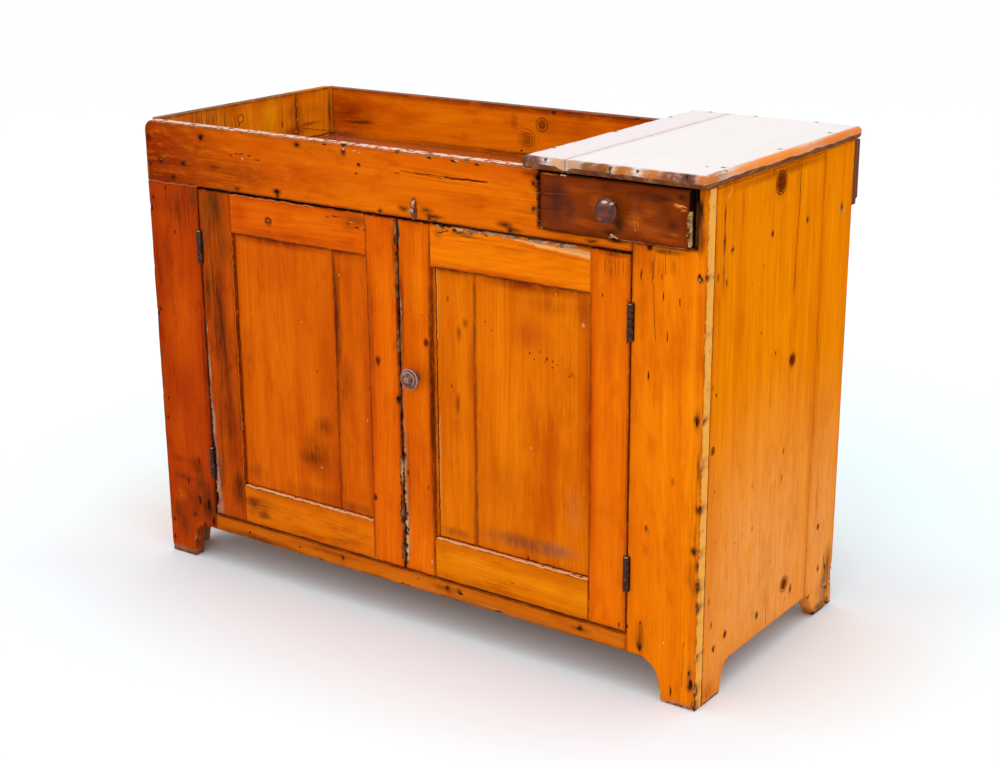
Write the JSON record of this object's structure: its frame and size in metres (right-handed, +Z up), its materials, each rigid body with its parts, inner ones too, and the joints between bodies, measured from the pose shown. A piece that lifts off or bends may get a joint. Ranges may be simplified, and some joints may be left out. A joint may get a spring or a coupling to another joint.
{
  "type": "dry sink cabinet",
  "caption": "Old pine dry sink: an open well over a cupboard with panelled doors, and a small work top over a drawer at its right end.",
  "frame": {"origin": "on the floor, under the middle of the whole piece: half way between the left side and the right edge of the work top, and half way between the drawer knob at rest and the back of the well", "axes": "+X to the right as seen from the front, +Y to the back, +Z up"},
  "size_m": [1.227, 0.591, 0.907],
  "materials": {
    "front_wood": "aged, oiled pine",
    "side_wood": "aged, oiled pine",
    "inside_wood": "dry, unfinished pine",
    "well_wood": "worn, polished pine",
    "top_wood": "worn, polished pine",
    "drawer_wood": "dark, worn pine",
    "dark_knob": "glossy, nearly black",
    "faded_knob": "faded and rubbed",
    "hinge_iron": "blackened, worn bright",
    "nail_iron": "rusted"
  },
  "bodies": {
    "case": {"back_board_1": "inside_wood", "back_board_2": "inside_wood", "back_board_3": "inside_wood", "back_board_4": "inside_wood", "back_nails": "nail_iron", "bottom_rail": "front_wood", "button_screw": "nail_iron", "case_hinge_leaves": "hinge_iron", "case_hinge_screws": "nail_iron", "cupboard_bottom_front_board": "inside_wood", "cupboard_bottom_rear_board": "inside_wood", "drawer_guides": "inside_wood", "face_nails": "nail_iron", "front_board": "front_wood", "hinge_pins": "hinge_iron", "left_side_front_board": "side_wood", "left_side_rear_board": "side_wood", "left_stile": "front_wood", "lid_nails": "nail_iron", "lid_narrow_board": "top_wood", "lid_wide_board": "top_wood", "right_side_front_board": "side_wood", "right_side_rear_board": "side_wood", "right_stile": "front_wood", "shelf_cleats": "inside_wood", "shelf_front_board": "inside_wood", "shelf_rear_board": "inside_wood", "side_nails": "nail_iron", "sink_floor_bearer": "inside_wood", "sink_floor_front_board": "well_wood", "sink_floor_rear_board": "well_wood", "well_back_board": "well_wood", "well_end_board": "well_wood"},
    "left_door": {"left_door_bottom_rail": "front_wood", "left_door_hinge_leaves": "hinge_iron", "left_door_hinge_screws": "nail_iron", "left_door_hinge_stile": "front_wood", "left_door_lock_stile": "front_wood", "left_door_narrow_panel": "front_wood", "left_door_top_rail": "front_wood", "left_door_wide_panel": "front_wood"},
    "right_door": {"right_door_bottom_rail": "front_wood", "right_door_hinge_leaves": "hinge_iron", "right_door_hinge_screws": "nail_iron", "right_door_hinge_stile": "front_wood", "right_door_knob": "faded_knob", "right_door_lock_stile": "front_wood", "right_door_narrow_panel": "front_wood", "right_door_top_rail": "front_wood", "right_door_wide_panel": "front_wood"},
    "drawer": {"drawer_back": "inside_wood", "drawer_bottom": "inside_wood", "drawer_front": "drawer_wood", "drawer_knob": "dark_knob", "drawer_left_side": "inside_wood", "drawer_nails": "nail_iron", "drawer_right_side": "inside_wood"},
    "turn_button": {"turn_button": "faded_knob"}
  },
  "joints": [
    {"name": "left_door_hinge", "type": "hinge", "parent": "case", "child": "left_door", "pos_m": [-0.48225, -0.2515, 0.435], "axis": [0, 0, -1], "range_deg": [0, 170]},
    {"name": "right_door_hinge", "type": "hinge", "parent": "case", "child": "right_door", "pos_m": [0.47025, -0.2515, 0.435], "axis": [0, 0, 1], "range_deg": [0, 170]},
    {"name": "drawer_slide", "type": "slide", "parent": "case", "child": "drawer", "axis": [0, -1, 0], "range_m": [-0.012, 0.32]},
    {"name": "button_turn", "type": "hinge", "parent": "case", "child": "turn_button", "pos_m": [0.0355, -0.2535, 0.784], "axis": [0, 1, 0], "continuous": true}
  ]
}
